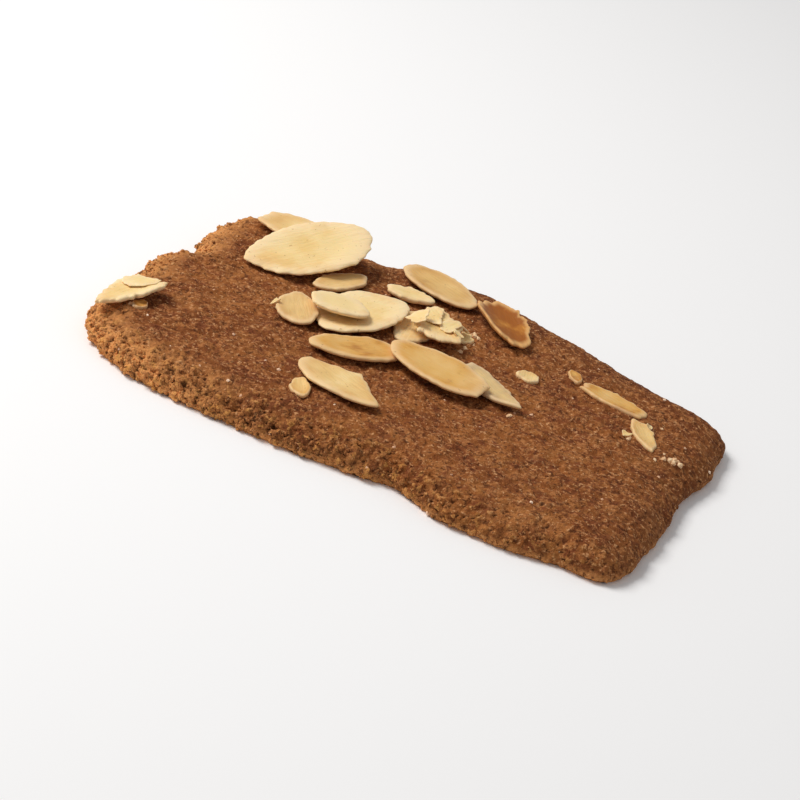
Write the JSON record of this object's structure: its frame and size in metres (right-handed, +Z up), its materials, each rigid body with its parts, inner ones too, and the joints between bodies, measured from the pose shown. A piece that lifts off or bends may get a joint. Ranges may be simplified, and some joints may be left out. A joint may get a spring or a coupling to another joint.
{
  "type": "almond speculaas cookie",
  "caption": "Thin hand-cut rectangular spiced biscuit with rolled uneven edges and sliced almonds lying on its top; food, rests flat.",
  "frame": {"origin": "middle of the flat underside, below the middle of the whole cookie's box", "axes": "+X along the cookie's long side, +Y across it, from the edge with the thick rolled rim to the bulged edge, +Z up through its thickness"},
  "size_m": [0.102, 0.079, 0.0115],
  "materials": {
    "dough": "matte, grainy baked crust",
    "almond": "satin, faintly waxy cut face",
    "almond_toasted": "satin, browned by baking"
  },
  "bodies": {
    "root": {"biscuit": "dough", "almond_slice_back_edge": "almond", "almond_slice_under_rim": "almond", "almond_slice_leaning": "almond", "almond_slice_jagged": "almond", "almond_slice_far_edge": "almond", "almond_slice_cupped": "almond_toasted", "almond_slice_toasted": "almond_toasted", "almond_slice_crumbled": "almond", "almond_slice_palest": "almond", "almond_slice_round": "almond", "almond_slice_on_top": "almond", "almond_slice_long": "almond", "almond_slice_lifted": "almond", "almond_slice_broken": "almond", "almond_slice_left_edge": "almond"}
  },
  "joints": []
}
